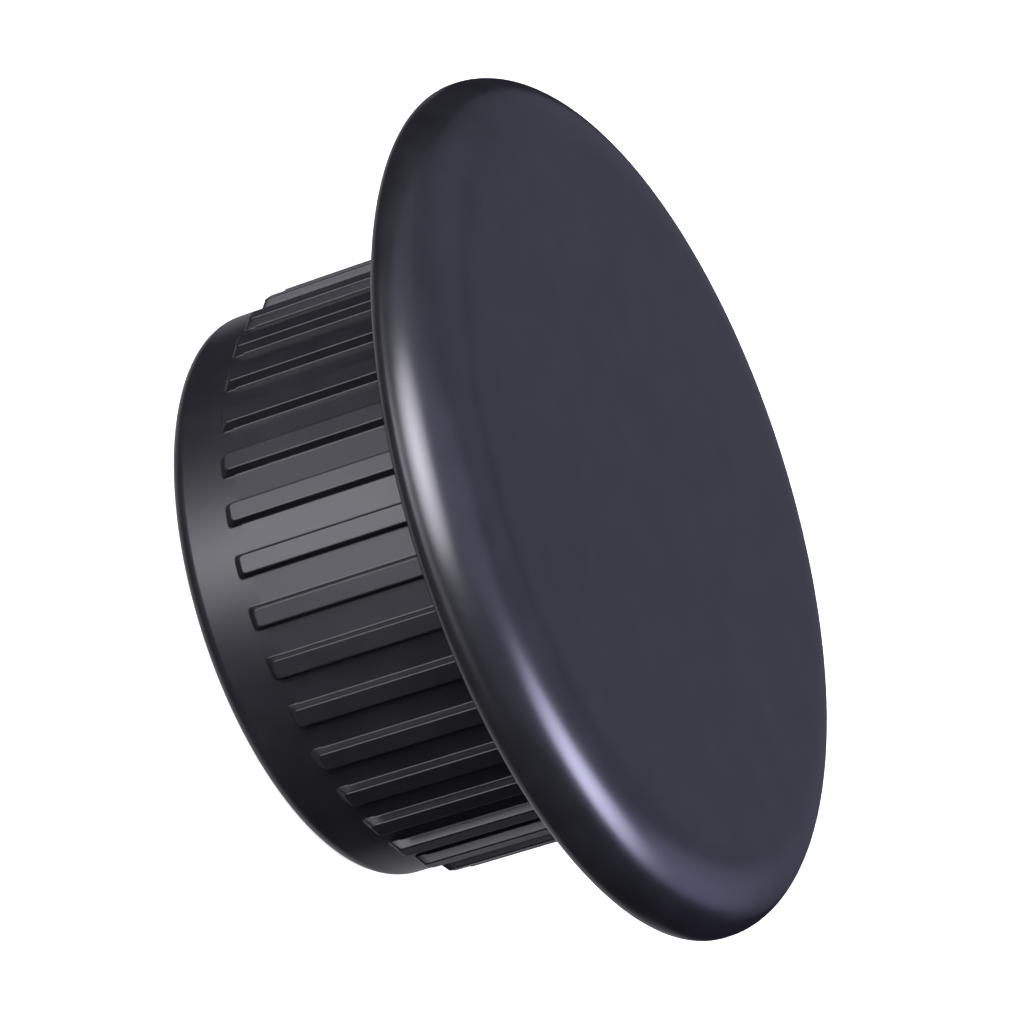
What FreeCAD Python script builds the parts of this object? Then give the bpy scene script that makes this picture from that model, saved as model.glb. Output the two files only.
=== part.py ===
import FreeCAD, Part
import math
import os
import Sketcher
from FreeCAD import Placement, Rotation, Vector

# Round tube end cap, moulded in one piece: a flat-faced head with a soft front
# edge, and a hollow plug with raised grip ribs that is pressed into the tube.
# Z = 0 is the open end of the plug, and +Z points to the face of the head.
# All lengths are in millimetres and all angles in degrees.
SIZES = {
    "head_dia": 70.0,
    "head_thick": 5.8,
    # the front edge is a quarter ellipse, wider across the face than it is deep
    "front_edge_width": 6.3,
    "front_edge_depth": 4.4,
    "back_edge_round": 1.2,
    # the face is an even skin over the end of the bore
    "face_wall": 2.8,
    "plug_length": 24.3,
    "plug_dia": 46.6,
    "plug_wall": 2.2,
    "bore_draft": 1.0,
    "bore_floor_round": 1.5,
    "nose_outer_round": 1.4,
    "nose_inner_round": 0.4,
    "rib_count": 36,
    # measured from the flats between the ribs
    "rib_height": 0.95,
    "rib_crest_width": 1.5,
    "rib_draft": 9.0,
    # measured along the foot; the chamfer takes its size off the crest's length
    "rib_length": 19.45,
    "rib_end_chamfer": 0.75,
    # the plug is cut to narrow flats between the ribs, a little below its skin
    "flat_depth": 0.1,
}

# how far a cut or a rib runs past the surface that it has to clear or enter
OVERRUN = 0.5
# how close an edge has to lie to the place where it is looked for
NEAR = 0.01

doc = FreeCAD.newDocument("tube_end_cap")
sheet = doc.addObject("Spreadsheet::Sheet", "sizes")
for row, (name, value) in enumerate(SIZES.items(), start=1):
    sheet.set("A%d" % row, name)
    sheet.set("B%d" % row, str(value))
    sheet.setAlias("B%d" % row, name)
doc.recompute()

body = doc.addObject("PartDesign::Body", "end_cap")
body.Label = "end_cap"

# Levels and radii that follow from the sizes, used for first guesses of the
# sketches and for finding edges. The sketches themselves are bound to the sheet.
head_r = SIZES["head_dia"] / 2
plug_r = SIZES["plug_dia"] / 2
seat_z = SIZES["plug_length"]
face_z = seat_z + SIZES["head_thick"]
floor_z = face_z - SIZES["face_wall"]
mouth_r = plug_r - SIZES["plug_wall"]
floor_r = mouth_r - floor_z * math.tan(math.radians(SIZES["bore_draft"]))
flat_r = plug_r - SIZES["flat_depth"]
crest_r = flat_r + SIZES["rib_height"]
rib_end_z = seat_z - SIZES["rib_length"]
half_pitch = 180.0 / SIZES["rib_count"]


def origin_feature(role):
    for feature in body.Origin.OriginFeatures:
        if feature.Role == role:
            return feature
    raise ValueError("no origin feature called " + role)


def new_sketch(name, plane, offset=None):
    sketch = body.newObject("Sketcher::SketchObject", name)
    sketch.AttachmentSupport = [(origin_feature(plane), "")]
    sketch.MapMode = "FlatFace"
    if offset is not None:
        sketch.AttachmentOffset = offset
    return sketch


def add_polygon(sketch, points):
    """Closed loop of lines through the points; returns the index of each line."""
    lines = []
    for start, end in zip(points, points[1:] + points[:1]):
        lines.append(sketch.addGeometry(Part.LineSegment(Vector(*start, 0), Vector(*end, 0))))
    join_ends(sketch, lines)
    return lines


def join_ends(sketch, curves):
    for first, second in zip(curves, curves[1:] + curves[:1]):
        sketch.addConstraint(Sketcher.Constraint("Coincident", first, 2, second, 1))


def set_size(sketch, kind, places, value, expression):
    """Adds a dimension to the sketch and ties it to the sheet."""
    index = sketch.addConstraint(Sketcher.Constraint(kind, *places, value))
    sketch.setExpression("Constraints[%d]" % index, expression)


def from_origin_x(sketch, line, point, value, expression):
    set_size(sketch, "DistanceX", (-1, 1, line, point), value, expression)


def from_origin_y(sketch, line, point, value, expression):
    set_size(sketch, "DistanceY", (-1, 1, line, point), value, expression)


def find_edges(shape, wanted):
    """Names of the edges for which wanted(edge) is true."""
    names = ["Edge%d" % number for number, edge in enumerate(shape.Edges, start=1) if wanted(edge)]
    if not names:
        raise ValueError("no edge found")
    return names


def is_ring(edge, radius, level):
    """True for a full circle about the Z axis with this radius, at this level."""
    curve = edge.Curve
    if not isinstance(curve, Part.Circle) or len(edge.Vertexes) > 1:
        return False
    return abs(curve.Radius - radius) < NEAR and abs(curve.Center.z - level) < NEAR


def add_fillet(name, base, edges, size_name):
    fillet = body.newObject("PartDesign::Fillet", name)
    fillet.Base = (base, edges)
    fillet.setExpression("Radius", "sizes." + size_name)
    doc.recompute()
    return fillet


def add_ring_pattern(name, original):
    pattern = body.newObject("PartDesign::PolarPattern", name)
    pattern.Originals = [original]
    pattern.Axis = (origin_feature("Z_Axis"), [""])
    pattern.Angle = 360
    pattern.setExpression("Occurrences", "sizes.rib_count")
    body.Tip = pattern
    doc.recompute()
    return pattern


def add_moulding():
    """Head and hollow plug, turned from one half section."""
    section = new_sketch("half_section", "XZ_Plane")
    corners = [
        (0, floor_z),
        (floor_r, floor_z),
        (mouth_r, 0),
        (plug_r, 0),
        (plug_r, seat_z),
        (head_r, seat_z),
        (head_r, face_z - SIZES["front_edge_depth"]),
    ]
    lines = []
    for start, end in zip(corners, corners[1:]):
        lines.append(section.addGeometry(Part.LineSegment(Vector(*start, 0), Vector(*end, 0))))
    floor, bore, mouth, skin, seat, side = lines

    # quarter ellipse from the side of the head up to the flat face
    middle = Vector(head_r - SIZES["front_edge_width"], face_z - SIZES["front_edge_depth"], 0)
    wide_point = Vector(head_r, middle.y, 0)
    high_point = Vector(middle.x, face_z, 0)
    quarter = Part.ArcOfEllipse(Part.Ellipse(wide_point, high_point, middle), 0, math.pi / 2)
    front = section.addGeometry(quarter)
    face = section.addGeometry(Part.LineSegment(high_point, Vector(0, face_z, 0)))
    axis = section.addGeometry(Part.LineSegment(Vector(0, face_z, 0), Vector(0, floor_z, 0)))
    join_ends(section, [floor, bore, mouth, skin, seat, side, front, face, axis])

    for line in (floor, mouth, seat, face):
        section.addConstraint(Sketcher.Constraint("Horizontal", line))
    for line in (skin, side, axis):
        section.addConstraint(Sketcher.Constraint("Vertical", line))
    section.addConstraint(Sketcher.Constraint("PointOnObject", axis, 1, -2))
    section.addConstraint(Sketcher.Constraint("PointOnObject", mouth, 1, -1))

    section.exposeInternalGeometry(front)
    long_axis = axis + 1
    section.addConstraint(Sketcher.Constraint("Horizontal", long_axis))
    section.addConstraint(Sketcher.Constraint("Horizontal", front, 3, front, 1))
    section.addConstraint(Sketcher.Constraint("Vertical", front, 3, front, 2))

    from_origin_x(section, skin, 1, plug_r, "sizes.plug_dia / 2")
    from_origin_x(section, side, 1, head_r, "sizes.head_dia / 2")
    from_origin_y(section, seat, 1, seat_z, "sizes.plug_length")
    set_size(section, "DistanceY", (seat, 2, face, 1), SIZES["head_thick"], "sizes.head_thick")
    set_size(section, "DistanceX", (front, 3, front, 1), SIZES["front_edge_width"], "sizes.front_edge_width")
    set_size(section, "DistanceY", (front, 3, front, 2), SIZES["front_edge_depth"], "sizes.front_edge_depth")
    set_size(section, "DistanceX", (mouth, 1, mouth, 2), SIZES["plug_wall"], "sizes.plug_wall")
    set_size(section, "DistanceY", (axis, 2, axis, 1), SIZES["face_wall"], "sizes.face_wall")
    set_size(section, "DistanceX", (floor, 2, bore, 2), mouth_r - floor_r,
             "(sizes.plug_length + sizes.head_thick - sizes.face_wall) * tan(1 deg * sizes.bore_draft)")

    moulding = body.newObject("PartDesign::Revolution", "moulding")
    moulding.Profile = section
    moulding.ReferenceAxis = (section, ["V_Axis"])
    moulding.Angle = 360
    doc.recompute()
    return moulding


def round_edges(moulding):
    """Rounds the back of the head, the mouth of the plug and the end of the bore."""
    back = add_fillet("back_edge", moulding,
                      find_edges(moulding.Shape, lambda e: is_ring(e, head_r, seat_z)), "back_edge_round")
    outer = add_fillet("nose_outer_edge", back,
                       find_edges(back.Shape, lambda e: is_ring(e, plug_r, 0)), "nose_outer_round")
    inner = add_fillet("nose_inner_edge", outer,
                       find_edges(outer.Shape, lambda e: is_ring(e, mouth_r, 0)), "nose_inner_round")
    return add_fillet("bore_floor_edge", inner,
                      find_edges(inner.Shape, lambda e: is_ring(e, floor_r, floor_z)), "bore_floor_round")


def add_flats():
    """Narrow flats between the ribs, as long as the ribs. They leave the nose a plain cylinder."""
    offset = Placement(Vector(0, 0, rib_end_z), Rotation(Vector(0, 0, 1), half_pitch))
    plan = new_sketch("flat_plan", "XY_Plane", offset)
    plan.setExpression("AttachmentOffset.Base.z", "sizes.plug_length - sizes.rib_length")
    plan.setExpression("AttachmentOffset.Rotation.Angle", "180 deg / sizes.rib_count")
    half_width = flat_r * math.tan(math.radians(half_pitch)) + OVERRUN
    outer_x = plug_r + OVERRUN
    lines = add_polygon(plan, [(flat_r, -half_width), (outer_x, -half_width),
                               (outer_x, half_width), (flat_r, half_width)])
    for line in (lines[0], lines[2]):
        plan.addConstraint(Sketcher.Constraint("Horizontal", line))
    plan.addConstraint(Sketcher.Constraint("Vertical", lines[1]))
    plan.addConstraint(Sketcher.Constraint("Symmetric", lines[3], 1, lines[3], 2, -1))
    from_origin_x(plan, lines[0], 1, flat_r, "sizes.plug_dia / 2 - sizes.flat_depth")
    from_origin_x(plan, lines[1], 1, outer_x, "sizes.plug_dia / 2 + %s" % OVERRUN)
    set_size(plan, "DistanceY", (lines[1], 1, lines[1], 2), 2 * half_width,
             "(sizes.plug_dia - 2 * sizes.flat_depth) * tan(180 deg / sizes.rib_count) + %s" % (2 * OVERRUN))

    flat = body.newObject("PartDesign::Pocket", "flat")
    flat.Profile = plan
    flat.Reversed = True
    flat.setExpression("Length", "sizes.rib_length")
    doc.recompute()
    return add_ring_pattern("flats", flat)


def add_ribs():
    """Raised grip ribs with drafted flanks, drawn in cross section and set into the plug."""
    section = new_sketch("rib_section", "XY_Plane", Placement(Vector(0, 0, rib_end_z), Rotation()))
    section.setExpression("AttachmentOffset.Base.z", "sizes.plug_length - sizes.rib_length")
    crest_half = SIZES["rib_crest_width"] / 2
    root_x = flat_r - OVERRUN
    root_half = crest_half + (crest_r - root_x) * math.tan(math.radians(SIZES["rib_draft"]))
    root, low_flank, crest, high_flank = add_polygon(
        section, [(root_x, root_half), (root_x, -root_half), (crest_r, -crest_half), (crest_r, crest_half)])
    section.addConstraint(Sketcher.Constraint("Symmetric", root, 1, root, 2, -1))
    section.addConstraint(Sketcher.Constraint("Symmetric", crest, 1, crest, 2, -1))
    from_origin_x(section, root, 1, root_x, "sizes.plug_dia / 2 - sizes.flat_depth - %s" % OVERRUN)
    from_origin_x(section, crest, 1, crest_r, "sizes.plug_dia / 2 - sizes.flat_depth + sizes.rib_height")
    set_size(section, "DistanceY", (crest, 1, crest, 2), 2 * crest_half, "sizes.rib_crest_width")
    set_size(section, "DistanceY", (root, 2, root, 1), 2 * root_half,
             "sizes.rib_crest_width + 2 * (sizes.rib_height + %s) * tan(1 deg * sizes.rib_draft)" % OVERRUN)

    rib = body.newObject("PartDesign::Pad", "rib")
    rib.Profile = section
    rib.setExpression("Length", "sizes.rib_length + %s" % OVERRUN)
    doc.recompute()
    return add_ring_pattern("ribs", rib)


def chamfer_ribs(ribs):
    """Slopes the free end of each rib, so that it leads into the tube."""
    def is_crest_end(edge):
        middle = edge.valueAt((edge.FirstParameter + edge.LastParameter) / 2)
        on_crest = abs(math.hypot(middle.x, middle.y) - crest_r) < NEAR
        return on_crest and abs(middle.z - rib_end_z) < NEAR

    chamfer = body.newObject("PartDesign::Chamfer", "rib_ends")
    chamfer.Base = (ribs, find_edges(ribs.Shape, is_crest_end))
    chamfer.setExpression("Size", "sizes.rib_end_chamfer")
    doc.recompute()
    return chamfer


moulding = add_moulding()
print("moulding", round(moulding.Shape.Volume, 1))
rounded = round_edges(moulding)
print("rounded", round(rounded.Shape.Volume, 1))
flats = add_flats()
print("flats", round(flats.Shape.Volume, 1))
ribs = add_ribs()
print("ribs", round(ribs.Shape.Volume, 1))
finished = chamfer_ribs(ribs)
body.Tip = finished
doc.recompute()
print("finished", round(body.Shape.Volume, 1))

for item in doc.Objects:
    if "Invalid" in item.State or "Error" in item.State:
        raise ValueError("%s failed: %s" % (item.Name, item.State))
if body.Shape.isNull() or not body.Shape.isValid() or len(body.Shape.Solids) != 1:
    raise ValueError("end_cap is not one valid solid")

os.makedirs("parts", exist_ok=True)
body.Shape.exportStep("parts/%s.step" % body.Label)
box = body.Shape.BoundBox
print("end_cap", round(box.XLength, 3), round(box.YLength, 3), round(box.ZMin, 3), round(box.ZMax, 3))
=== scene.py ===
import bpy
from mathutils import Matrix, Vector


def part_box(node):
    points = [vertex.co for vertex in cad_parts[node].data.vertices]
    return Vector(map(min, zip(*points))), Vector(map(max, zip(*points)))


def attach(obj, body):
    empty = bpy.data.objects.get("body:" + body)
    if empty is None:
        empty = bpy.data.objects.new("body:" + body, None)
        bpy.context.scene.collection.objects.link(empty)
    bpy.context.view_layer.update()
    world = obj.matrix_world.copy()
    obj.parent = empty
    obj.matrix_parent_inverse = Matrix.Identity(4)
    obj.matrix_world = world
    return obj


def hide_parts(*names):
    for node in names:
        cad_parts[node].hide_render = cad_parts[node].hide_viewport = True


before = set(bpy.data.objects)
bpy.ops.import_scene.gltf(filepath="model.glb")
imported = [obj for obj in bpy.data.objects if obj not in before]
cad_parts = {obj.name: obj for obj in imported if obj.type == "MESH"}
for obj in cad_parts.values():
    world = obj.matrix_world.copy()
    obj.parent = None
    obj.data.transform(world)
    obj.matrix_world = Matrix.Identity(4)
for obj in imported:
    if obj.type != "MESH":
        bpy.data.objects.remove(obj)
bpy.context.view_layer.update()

import math
import bpy
from mathutils import Matrix, Vector

mm = 0.001  # the sizes below are in millimetres, Blender works in metres
capLow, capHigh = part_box("end_cap")
print("frame loaded, cap box", [round(v, 4) for v in capLow], [round(v, 4) for v in capHigh])


# small helpers

def cornerArc(before, corner, after, radius, steps):
    # points of the arc that rounds a corner between two straight lines
    back = (before - corner).normalized()
    on = (after - corner).normalized()
    half = back.angle(on) / 2
    centre = corner + (back + on).normalized() * (radius / math.sin(half))
    first = (corner + back * (radius / math.tan(half)) - centre).normalized()
    last = (corner + on * (radius / math.tan(half)) - centre).normalized()
    return [centre + first.slerp(last, step / steps) * radius for step in range(steps + 1)]


def between(a, b, share):
    return a + (b - a) * share


def link(obj):
    bpy.context.scene.collection.objects.link(obj)
    return obj


# the cap

cap = {
    # turned sizes
    "headRadius": (capHigh[0] - capLow[0]) / 2 / mm,
    "faceLevel": capHigh[2] / mm,
    "seatLevel": 24.3,
    "frontEdgeWidth": 6.3,
    "frontEdgeDepth": 4.4,
    "backEdgeRound": 1.2,
    "faceWall": 2.8,
    "plugRadius": 23.3,
    "plugWall": 2.2,
    "boreDraft": 1.0,
    "boreFloorRound": 1.5,
    "noseOuterRound": 1.4,
    "noseInnerRound": 0.4,
    # grip ribs
    "ribCount": 36,
    "crestRadius": 24.15,
    "crestWidth": 1.5,
    "ribDraft": 9.0,
    "ribEndLevel": 4.85,
    "ribEndSlope": 0.75,  # how far the end face leans back over its height
    "ribEndRound": 0.15,
    "ribEdgeRound": 0.13,
    "ribRootRound": 0.12,
    "ribCornerAngle": 1.05,  # degrees either side of the rib's middle that its end runs straight
    "ribCornerDepth": 0.35,  # how far up the rib its rounded corner reaches
    # flats between the ribs
    "flatRadius": 23.36,
    "flatStart": 6.0,
    "flatStep": 0.02,
    "plainLevel": 7.4,  # above it the ribs and flats run straight up to the seat
    # how finely it is drawn
    "cornerSteps": 8,
    "endSteps": 3,
    "rootSteps": 3,
    "edgeSteps": 5,
    "backEdgeSteps": 8,
    "frontEdgeSteps": 24,
    "boreFloorSteps": 7,
    "noseInnerSteps": 5,
    "noseOuterSteps": 10,
    "gapShares": (0.0, 0.55, 0.93),  # where lines run between the middle of a gap and the rib's foot
    "crestInset": 0.12,  # share of the crest's half width from its round to the line inside it
    "ribLevels": (22.6, 18.0, 14.0, 10.0),
    "flatSteps": (6.0, 1.5, 0.5),  # levels either side of the flats' start, in flatStep
    "noseBand": 4.3,
    "noseLevel": 3.0,
    "boreFloorRadii": (7, 15, 18.9),
    "faceRadii": (26.0, 20.0, 13.0, 6.0),
    "flatMargin": 0.15,  # from a round to the first line on the flat beside it
    "weldDistance": 0.004,
    "sharpAngle": 40,
}


def ribSide(onFlat):
    # half of the rib's cross section, from the middle of the gap to the crest,
    # as (distance from the rib's middle, distance from the axis)
    pitchHalf = math.pi / cap["ribCount"]
    crestHalf = cap["crestWidth"] / 2
    lean = math.tan(math.radians(cap["ribDraft"]))

    def skinAt(angle):
        radius = cap["plugRadius"]
        if onFlat:
            radius = cap["flatRadius"] / math.cos(pitchHalf - angle)
        return Vector((math.sin(angle), math.cos(angle))) * radius

    # the root lies where the flank meets the skin
    angle = 0.04  # a first guess
    for _ in range(20):
        out = skinAt(angle).y
        angle = math.atan2(crestHalf + (cap["crestRadius"] - out) * lean, out)
    root = skinAt(angle)
    crestCorner = Vector((crestHalf, cap["crestRadius"]))
    crestMiddle = Vector((0.0, cap["crestRadius"]))
    rootArc = cornerArc(skinAt(angle * 1.2), root, crestCorner, cap["ribRootRound"], cap["rootSteps"])
    crestArc = cornerArc(root, crestCorner, crestMiddle, cap["ribEdgeRound"], cap["edgeSteps"])
    startAngle = math.atan2(rootArc[0].x, rootArc[0].y)
    gap = [skinAt(between(pitchHalf, startAngle, share)) for share in cap["gapShares"]]
    inset = between(crestArc[-1], crestMiddle, cap["crestInset"])
    points = gap + rootArc + crestArc + [inset]
    return [(math.atan2(p.x, p.y), p.length) for p in points]


def ribEnd():
    # the rib's end in side view, from the nose band to the crest, as (level, distance from the axis)
    level = cap["ribEndLevel"]
    far = Vector((cap["noseBand"], cap["plugRadius"]))
    root = Vector((level, cap["plugRadius"]))
    top = Vector((level + cap["ribEndSlope"], cap["crestRadius"]))
    inside = Vector((top.x + 2.0, cap["crestRadius"]))
    rootArc = cornerArc(far, root, top, cap["ribRootRound"], cap["rootSteps"])
    crestArc = cornerArc(root, top, inside, cap["ribEndRound"], cap["edgeSteps"])
    gap = [between(far, rootArc[0], share) for share in cap["gapShares"]]
    inset = Vector((crestArc[-1].x + 0.05, cap["crestRadius"]))
    return gap + rootArc + crestArc + [inset]


def ribRings():
    # One pitch of the plug's outside as a lattice. Each ring follows the rib's outline in a U: down
    # one side from the seat, round its end and up the other side. The first ring is the edge of the
    # pitch, the last lies on the crest.
    flatSide = ribSide(True)
    skinSide = ribSide(False)
    end = ribEnd()
    plain = cap["plainLevel"]
    lowCorner = cap["ribEndLevel"] + cap["ribCornerDepth"]
    longLevels = [cap["seatLevel"], *cap["ribLevels"]]
    # how far down towards the corner each further level lies, and whether it is on the flats
    shares = [(0.0, True)]
    above = [(step, True) for step in cap["flatSteps"]]
    below = [(-step, False) for step in reversed(cap["flatSteps"])]
    for step, onFlat in above + below:
        level = cap["flatStart"] + cap["flatStep"] * step
        shares.append(((plain - level) / (plain - lowCorner), onFlat))
    shares.append((1.0, False))
    straightHalf = math.radians(cap["ribCornerAngle"])
    last = len(end) - 1
    gapLines = len(cap["gapShares"])
    rings = []
    for number in range(len(end)):
        squareness = max(0.0, 1.0 - number / gapLines)
        # the corner lies higher on the rib's slope than at its foot
        cornerLevel = max(end[number][0], cap["ribEndLevel"]) + cap["ribCornerDepth"]
        sideLevels = [(level, True) for level in longLevels]
        sideLevels += [(between(plain, cornerLevel, share), onFlat) for share, onFlat in shares]
        ring = []
        for level, onFlat in sideLevels:
            angle, radius = flatSide[number] if onFlat else skinSide[number]
            ring.append((angle, radius, level))
        sideAngle, sideRadius = skinSide[number]
        endLevel, endRadius = end[number]
        # 0 on the round skin, 1 on the flat crest
        flatness = max(0.0, (number - gapLines) / (last - gapLines))
        for step in range(1, cap["cornerSteps"] + 1):
            turn = math.pi / 2 * step / cap["cornerSteps"]
            across, along = math.cos(turn), math.sin(turn)
            wide = 1.0 if along <= across + 1e-9 else across / along
            deep = 1.0 if across <= along + 1e-9 else along / across
            across = between(across, wide, squareness)
            along = between(along, deep, squareness)
            angle = straightHalf + (sideAngle - straightHalf) * across
            level = between(cornerLevel, endLevel, along)
            onEnd = endRadius * (1 + flatness * (1 / math.cos(angle) - 1))
            ring.append((angle, between(sideRadius, onEnd, math.sin(turn) ** 2), level))
        mirrored = [(-angle, radius, level) for angle, radius, level in ring]
        middle = []
        for step in range(1, cap["endSteps"]):
            angle = straightHalf * (2 * step / cap["endSteps"] - 1)
            middle.append((angle, endRadius * (1 + flatness * (1 / math.cos(angle) - 1)), endLevel))
        rings.append(mirrored + middle + ring[::-1])
    return rings, len(longLevels) + len(shares)


def lowerSection():
    # from the middle of the bore's floor, down the bore and round the nose, up to the ribs
    mouth = cap["plugRadius"] - cap["plugWall"]
    floorLevel = cap["faceLevel"] - cap["faceWall"]
    floorRadius = mouth - floorLevel * math.tan(math.radians(cap["boreDraft"]))
    corners = [
        (Vector((floorRadius, floorLevel)), cap["boreFloorRound"], cap["boreFloorSteps"]),
        (Vector((mouth, 0)), cap["noseInnerRound"], cap["noseInnerSteps"]),
        (Vector((cap["plugRadius"], 0)), cap["noseOuterRound"], cap["noseOuterSteps"]),
    ]
    start = Vector((0, floorLevel))
    finish = Vector((cap["plugRadius"], cap["noseBand"]))
    places = [start] + [corner for corner, radius, steps in corners] + [finish]
    section = [Vector((inner, floorLevel)) for inner in cap["boreFloorRadii"]]
    for number, (corner, radius, steps) in enumerate(corners, start=1):
        before, after = places[number - 1], places[number + 1]
        arc = cornerArc(before, corner, after, radius, steps)
        # an extra point close to each end of the arc keeps the shading of the straights clean
        section += [between(arc[0], before, 0.01)] + arc + [between(arc[-1], after, 0.01)]
    section.append(Vector((cap["plugRadius"], cap["noseLevel"])))
    return section


def headSection():
    # from the seat round the edge of the head and in to the middle of its face
    radius, seat, face = cap["headRadius"], cap["seatLevel"], cap["faceLevel"]
    back, margin = cap["backEdgeRound"], cap["flatMargin"]
    middle, rim, front = Vector((0, seat)), Vector((radius, seat)), Vector((radius, face))
    section = [Vector((radius - back - margin, seat))]
    section += cornerArc(middle, rim, front, back, cap["backEdgeSteps"])
    across, deep = cap["frontEdgeWidth"], cap["frontEdgeDepth"]
    for step in range(cap["frontEdgeSteps"] + 1):
        turn = math.pi / 2 * step / cap["frontEdgeSteps"]
        section.append(Vector((radius - across + across * math.cos(turn),
                               face - deep + deep * math.sin(turn))))
    section += [Vector((inner, face)) for inner in (radius - across - margin, *cap["faceRadii"])]
    return section


def pitchOfCap():
    points, faces = [], []

    def put(angle, radius, level):
        points.append((radius * math.cos(angle) * mm, radius * math.sin(angle) * mm, level * mm))
        return len(points) - 1

    def stitch(row, following):
        for n in range(len(row) - 1):
            faces.append((row[n], row[n + 1], following[n + 1], following[n]))

    rings, sideCount = ribRings()
    lattice = [[put(*place) for place in ring] for ring in rings]
    for outer, inner in zip(lattice, lattice[1:]):
        stitch(outer, inner)
    faces.append(tuple(lattice[-1]))

    # the bottom of the outermost ring carries on down the nose
    half = cap["cornerSteps"] // 2
    first = sideCount - 1 + half
    bottom = lattice[0][first:len(lattice[0]) - first]
    angles = [rings[0][n][0] for n in range(first, len(rings[0]) - first)]
    rows = [[put(angle, p.x, p.y) for angle in angles] for p in lowerSection()]
    centre = put(0, 0, cap["faceLevel"] - cap["faceWall"])
    for n in range(len(angles) - 1):
        faces.append((centre, rows[0][n + 1], rows[0][n]))
    for lower, upper in zip(rows, rows[1:] + [bottom]):
        stitch(lower, upper)

    # the flat seat is one face a pitch, then the head
    rows = [[put(angle, p.x, p.y) for angle in angles] for p in headSection()]
    seatEdge = [ring[0] for ring in lattice] + [ring[-1] for ring in reversed(lattice)]
    faces.append(tuple(seatEdge + rows[0][::-1]))
    for lower, upper in zip(rows, rows[1:]):
        stitch(lower, upper)
    centre = put(0, 0, cap["faceLevel"])
    for n in range(len(angles) - 1):
        faces.append((rows[-1][n], rows[-1][n + 1], centre))

    mesh = bpy.data.meshes.new("capPitch")
    mesh.from_pydata(points, [], faces)
    mesh.update()
    return link(bpy.data.objects.new("capPitch", mesh))


def ringTree():
    # repeats one pitch round the axis and welds the pitches into one skin
    tree = bpy.data.node_groups.new("pitchRing", "GeometryNodeTree")
    tree.interface.new_socket(name="Pitch", in_out="INPUT", socket_type="NodeSocketGeometry")
    tree.interface.new_socket(name="Count", in_out="INPUT", socket_type="NodeSocketInt")
    tree.interface.new_socket(name="Weld distance", in_out="INPUT", socket_type="NodeSocketFloat")
    tree.interface.new_socket(name="Finish", in_out="INPUT", socket_type="NodeSocketMaterial")
    tree.interface.new_socket(name="Ring", in_out="OUTPUT", socket_type="NodeSocketGeometry")
    nodes, join = tree.nodes, tree.links.new
    inputs = nodes.new("NodeGroupInput")
    outputs = nodes.new("NodeGroupOutput")
    places = nodes.new("GeometryNodePoints")
    number = nodes.new("GeometryNodeInputIndex")
    share = nodes.new("ShaderNodeMath")
    share.operation = "DIVIDE"
    angle = nodes.new("ShaderNodeMath")
    angle.operation = "MULTIPLY"
    angle.inputs[1].default_value = 2 * math.pi
    turn = nodes.new("ShaderNodeCombineXYZ")
    repeat = nodes.new("GeometryNodeInstanceOnPoints")
    realise = nodes.new("GeometryNodeRealizeInstances")
    weld = nodes.new("GeometryNodeMergeByDistance")
    finish = nodes.new("GeometryNodeSetMaterial")
    join(inputs.outputs["Count"], places.inputs["Count"])
    join(number.outputs["Index"], share.inputs[0])
    join(inputs.outputs["Count"], share.inputs[1])
    join(share.outputs[0], angle.inputs[0])
    join(angle.outputs[0], turn.inputs["Z"])
    join(places.outputs[0], repeat.inputs["Points"])
    join(inputs.outputs["Pitch"], repeat.inputs["Instance"])
    join(turn.outputs[0], repeat.inputs["Rotation"])
    join(repeat.outputs[0], realise.inputs[0])
    join(realise.outputs[0], weld.inputs["Geometry"])
    join(inputs.outputs["Weld distance"], weld.inputs["Distance"])
    join(weld.outputs[0], finish.inputs["Geometry"])
    join(inputs.outputs["Finish"], finish.inputs["Material"])
    join(finish.outputs[0], outputs.inputs[0])
    return tree


def setInputs(modifier, values):
    for item in modifier.node_group.interface.items_tree:
        if item.name in values:
            modifier[item.identifier] = values[item.name]


# the finish

plastic = {
    "colour": (0.0045, 0.0045, 0.0051, 1),
    "paleColour": (0.0135, 0.0135, 0.0151, 1),
    "ior": 1.5,
    "roughness": 0.25,
    "roughnessSpread": 0.02,
    "cloudSize": 4.0,  # mm
    "cloudDetail": 5,
    "cloudRoughness": 0.6,
    "cloudLow": 0.3,  # the clouds' values that give the least and the most roughness
    "cloudHigh": 0.7,
    "grainSize": 0.35,  # mm
    "grainDepth": 0.004,  # mm
    "grainDetail": 2,
    "grainStrength": 0.5,
}


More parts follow.
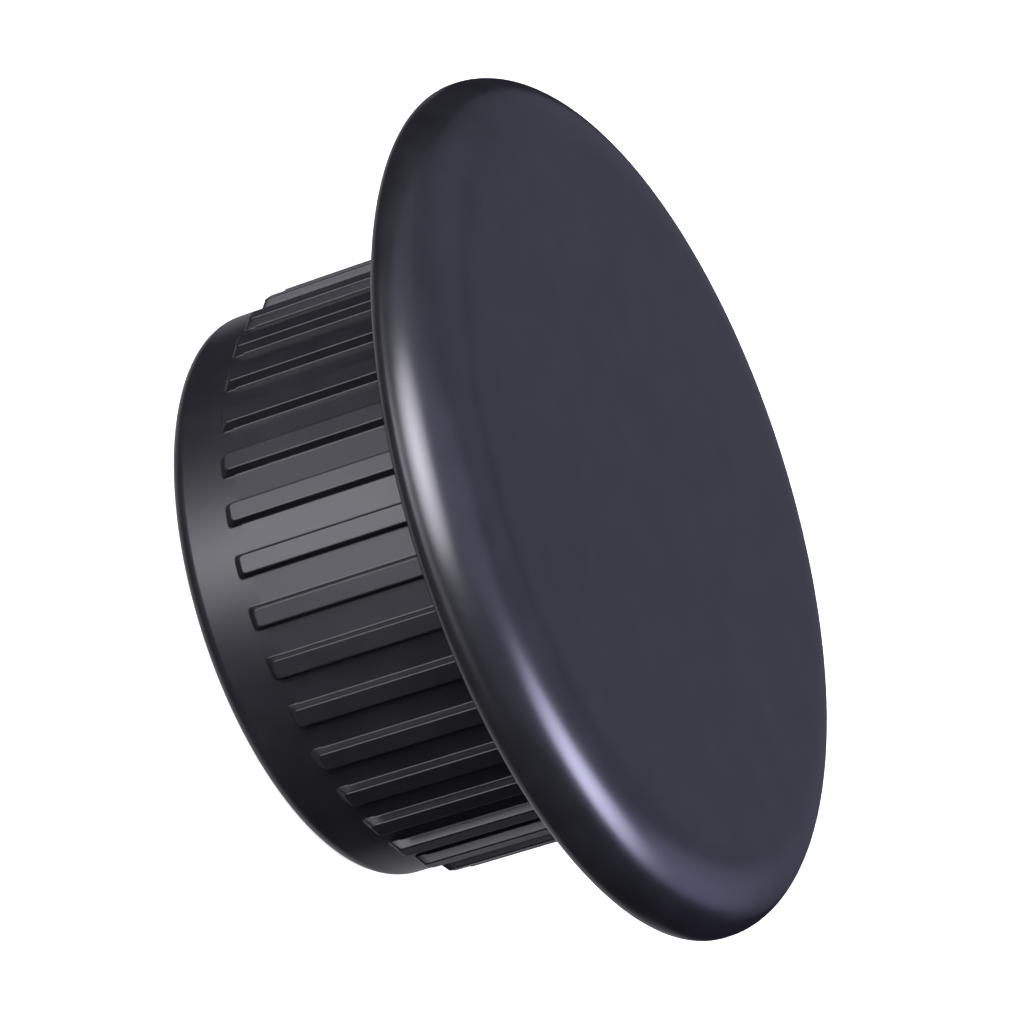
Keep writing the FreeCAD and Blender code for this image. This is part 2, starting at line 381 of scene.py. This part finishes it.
def mouldedPlastic():
    material = bpy.data.materials.new("blackPlastic")
    material.use_nodes = True
    nodes, join = material.node_tree.nodes, material.node_tree.links.new
    shader = nodes["Principled BSDF"]
    shader.inputs["IOR"].default_value = plastic["ior"]
    place = nodes.new("ShaderNodeTexCoord")

    clouds = nodes.new("ShaderNodeTexNoise")
    clouds.inputs["Scale"].default_value = 1 / (plastic["cloudSize"] * mm)
    clouds.inputs["Detail"].default_value = plastic["cloudDetail"]
    clouds.inputs["Roughness"].default_value = plastic["cloudRoughness"]
    join(place.outputs["Object"], clouds.inputs["Vector"])
    tone = nodes.new("ShaderNodeMix")
    tone.data_type = "RGBA"
    tone.inputs["A"].default_value = plastic["colour"]
    tone.inputs["B"].default_value = plastic["paleColour"]
    join(clouds.outputs["Fac"], tone.inputs["Factor"])
    join(tone.outputs["Result"], shader.inputs["Base Color"])
    gloss = nodes.new("ShaderNodeMapRange")
    gloss.inputs["From Min"].default_value = plastic["cloudLow"]
    gloss.inputs["From Max"].default_value = plastic["cloudHigh"]
    gloss.inputs["To Min"].default_value = plastic["roughness"] - plastic["roughnessSpread"] / 2
    gloss.inputs["To Max"].default_value = plastic["roughness"] + plastic["roughnessSpread"] / 2
    join(clouds.outputs["Fac"], gloss.inputs["Value"])
    join(gloss.outputs["Result"], shader.inputs["Roughness"])

    grain = nodes.new("ShaderNodeTexNoise")
    grain.inputs["Scale"].default_value = 1 / (plastic["grainSize"] * mm)
    grain.inputs["Detail"].default_value = plastic["grainDetail"]
    join(place.outputs["Object"], grain.inputs["Vector"])
    relief = nodes.new("ShaderNodeBump")
    relief.inputs["Strength"].default_value = plastic["grainStrength"]
    relief.inputs["Distance"].default_value = plastic["grainDepth"] * mm
    join(grain.outputs["Fac"], relief.inputs["Height"])
    join(relief.outputs["Normal"], shader.inputs["Normal"])
    return material


blackPlastic = mouldedPlastic()
pitch = pitchOfCap()
ringer = pitch.modifiers.new("pitchRing", "NODES")
ringer.node_group = ringTree()
setInputs(ringer, {
    "Count": cap["ribCount"],
    "Weld distance": cap["weldDistance"] * mm,
    "Finish": blackPlastic,
})
pitch.update_tag()
shown = pitch.evaluated_get(bpy.context.evaluated_depsgraph_get())
capMesh = bpy.data.meshes.new_from_object(shown)
bpy.data.objects.remove(pitch)
capMesh.name = "endCap"
capMesh.shade_smooth()
capMesh.set_sharp_from_angle(angle=math.radians(cap["sharpAngle"]))
endCap = link(bpy.data.objects.new("endCap", capMesh))
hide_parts("end_cap")
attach(endCap, "root")
print("cap made,", len(capMesh.polygons), "faces")


# floor, camera and lights

room = {
    "floorSize": 4.0,  # metres
    "floorColour": (0.85, 0.85, 0.85, 1),
    "floorGlow": 0.75,
    "fill": (0.018, 0.016, 0.027, 1),
    "backdrop": (1, 1, 1, 1),
}


def addFloor():
    mesh = bpy.data.meshes.new("floor")
    half = room["floorSize"] / 2
    corners = [(-half, -half, 0), (half, -half, 0), (half, half, 0), (-half, half, 0)]
    mesh.from_pydata(corners, [], [(0, 1, 2, 3)])
    floor = link(bpy.data.objects.new("floor", mesh))
    material = bpy.data.materials.new("paleFloor")
    material.use_nodes = True
    nodes, join = material.node_tree.nodes, material.node_tree.links.new
    shader = nodes["Principled BSDF"]
    shader.inputs["Base Color"].default_value = room["floorColour"]
    shader.inputs["Specular IOR Level"].default_value = 0
    shader.inputs["Emission Color"].default_value = (1, 1, 1, 1)
    shader.inputs["Emission Strength"].default_value = room["floorGlow"]
    # clear from below, so that the open end of the plug can be looked into
    place = nodes.new("ShaderNodeNewGeometry")
    clear = nodes.new("ShaderNodeBsdfTransparent")
    either = nodes.new("ShaderNodeMixShader")
    join(place.outputs["Backfacing"], either.inputs["Fac"])
    join(shader.outputs["BSDF"], either.inputs[1])
    join(clear.outputs["BSDF"], either.inputs[2])
    join(either.outputs["Shader"], nodes["Material Output"].inputs["Surface"])
    mesh.materials.append(material)
    # the plug is dark in the photo, so the pale floor throws no light on it
    floor.visible_diffuse = False
    floor.visible_glossy = False
    floor.visible_shadow = False


def addWorld():
    # a faint even fill, with a white backdrop that only the camera sees
    world = bpy.data.worlds.new("studio")
    world.use_nodes = True
    nodes, join = world.node_tree.nodes, world.node_tree.links.new
    fill = nodes["Background"]
    fill.inputs["Color"].default_value = room["fill"]
    backdrop = nodes.new("ShaderNodeBackground")
    backdrop.inputs["Color"].default_value = room["backdrop"]
    seen = nodes.new("ShaderNodeLightPath")
    either = nodes.new("ShaderNodeMixShader")
    join(seen.outputs["Is Camera Ray"], either.inputs["Fac"])
    join(fill.outputs["Background"], either.inputs[1])
    join(backdrop.outputs["Background"], either.inputs[2])
    join(either.outputs["Shader"], nodes["World Output"].inputs["Surface"])
    bpy.context.scene.world = world


# The photograph is taken square on to the cap's side from a little above its face, and turned so that
# the axis runs up to the right.
shot = {
    "lens": 193.36,  # mm
    "sensor": 36.0,  # mm
    "elevation": 22.894,  # degrees that the camera looks down
    "axisSlope": 17.837,  # degrees that the axis rises to the right
    "clip": (0.01, 20),  # metres
    "seatPlace": (5.932, -0.077, 430.94),  # the seat's centre: to the right, down and ahead, in mm
}


def addCamera():
    data = bpy.data.cameras.new("camera")
    data.lens = shot["lens"]
    data.sensor_width = shot["sensor"]
    data.clip_start, data.clip_end = shot["clip"]
    camera = link(bpy.data.objects.new("camera", data))
    rise, slope = math.radians(shot["elevation"]), math.radians(shot["axisSlope"])
    ahead = Vector((0, math.cos(rise), -math.sin(rise)))
    upright = Vector((0, math.sin(rise), math.cos(rise)))
    side = Vector((1, 0, 0))
    right = upright * math.cos(slope) + side * math.sin(slope)
    down = side * math.cos(slope) - upright * math.sin(slope)
    acrossBy, downBy, aheadBy = [v * mm for v in shot["seatPlace"]]
    seat = Vector((0, 0, cap["seatLevel"] * mm))
    camera.location = seat - right * acrossBy - down * downBy - ahead * aheadBy
    camera.rotation_mode = "QUATERNION"
    axes = Matrix((right, -down, -ahead)).transposed()
    camera.rotation_quaternion = axes.to_quaternion()
    bpy.context.scene.camera = camera


# Each lamp is a flat panel that faces the cap: "turn" is its bearing from +X and "rise" its height,
# "halfWide" and "halfTall" are half of what it spans as seen from the cap and "roll" leans it, all in
# degrees. It fades from its middle to nothing at "fade" degrees. "glow" is its brightness in the
# middle, where the picture's white is 1.
lamps = {
    "left": {"turn": -115.7, "rise": 15.7, "halfWide": 24.1, "halfTall": 26.6, "roll": 4.3,
             "fade": 33.3, "glow": (19.3, 19.1, 21.2)},
    "lowCore": {"turn": -117.3, "rise": -24.8, "halfWide": 30.0, "halfTall": 4.0, "roll": -3.3,
                "fade": 23.7, "glow": (5.30, 5.30, 5.45)},
    "lowWide": {"turn": -109.0, "rise": -25.3, "halfWide": 55.0, "halfTall": 4.0, "roll": 6.7,
                "fade": 55.1, "glow": (3.48, 3.33, 3.89)},
    "over": {"turn": 17.3, "rise": 56.2, "halfWide": 10.2, "halfTall": 24.1, "roll": 41.7,
             "fade": 23.0, "glow": (17.5, 17.7, 25.0)},
    "overTail": {"turn": 43.8, "rise": 36.9, "halfWide": 12.3, "halfTall": 36.0, "roll": 50.3,
                 "fade": 35.9, "glow": (0.81, 0.86, 1.43)},
    "behind": {"turn": 93.8, "rise": 30.1, "halfWide": 43.6, "halfTall": 33.1, "roll": 41.5,
               "fade": 54.7, "glow": (0.230, 0.240, 0.321)},
    "dome": {"turn": -130.3, "rise": 58.1, "halfWide": 62.0, "halfTall": 74.0, "roll": 33.7,
             "fade": 78.0, "glow": (0.406, 0.431, 0.614)},
    "far": {"turn": -163.2, "rise": 10.7, "halfWide": 34.8, "halfTall": 28.1, "roll": 26.7,
            "fade": 44.9, "glow": (0.368, 0.400, 0.490)},
    "top": {"turn": -118.6, "rise": 64.9, "halfWide": 28.5, "halfTall": 21.4, "roll": 75.4,
            "fade": 88.0, "glow": (0.527, 0.540, 0.783)},
    "under": {"turn": 78.0, "rise": -62.0, "halfWide": 45.0, "halfTall": 38.0, "roll": 0.0,
              "fade": 58.0, "glow": (0.62, 0.60, 0.65)},
}
lampDistance = 0.8  # metres


def addLamp(name, lamp):
    turn, rise = math.radians(lamp["turn"]), math.radians(lamp["rise"])
    way = Vector((math.cos(rise) * math.cos(turn), math.cos(rise) * math.sin(turn), math.sin(rise)))
    level = Vector((0, 0, 1)).cross(way).normalized()
    upward = way.cross(level)
    roll = math.radians(lamp["roll"])
    across = level * math.cos(roll) + upward * math.sin(roll)
    along = upward * math.cos(roll) - level * math.sin(roll)
    data = bpy.data.lights.new(name, "AREA")
    data.shape = "RECTANGLE"
    data.size = 2 * lampDistance * math.tan(math.radians(lamp["halfWide"]))
    data.size_y = 2 * lampDistance * math.tan(math.radians(lamp["halfTall"]))
    fade = math.radians(lamp["fade"])
    data.spread = 2 * fade
    brightest = max(lamp["glow"])
    # a lamp that fades sends out this share of what an even one of the same glow does
    share = 1 - fade / math.tan(fade)
    data.energy = brightest * math.pi * data.size * data.size_y * share
    data.color = [part / brightest for part in lamp["glow"]]
    obj = link(bpy.data.objects.new(name, data))
    obj.location = Vector((0, 0, cap["seatLevel"] * mm)) + way * lampDistance
    obj.rotation_mode = "QUATERNION"
    obj.rotation_quaternion = Matrix((across, along, way)).transposed().to_quaternion()
    obj.visible_camera = False


addFloor()
addWorld()
addCamera()
for name, lamp in lamps.items():
    addLamp(name, lamp)
bpy.context.scene.view_settings.view_transform = "Standard"
print("camera and lights placed")
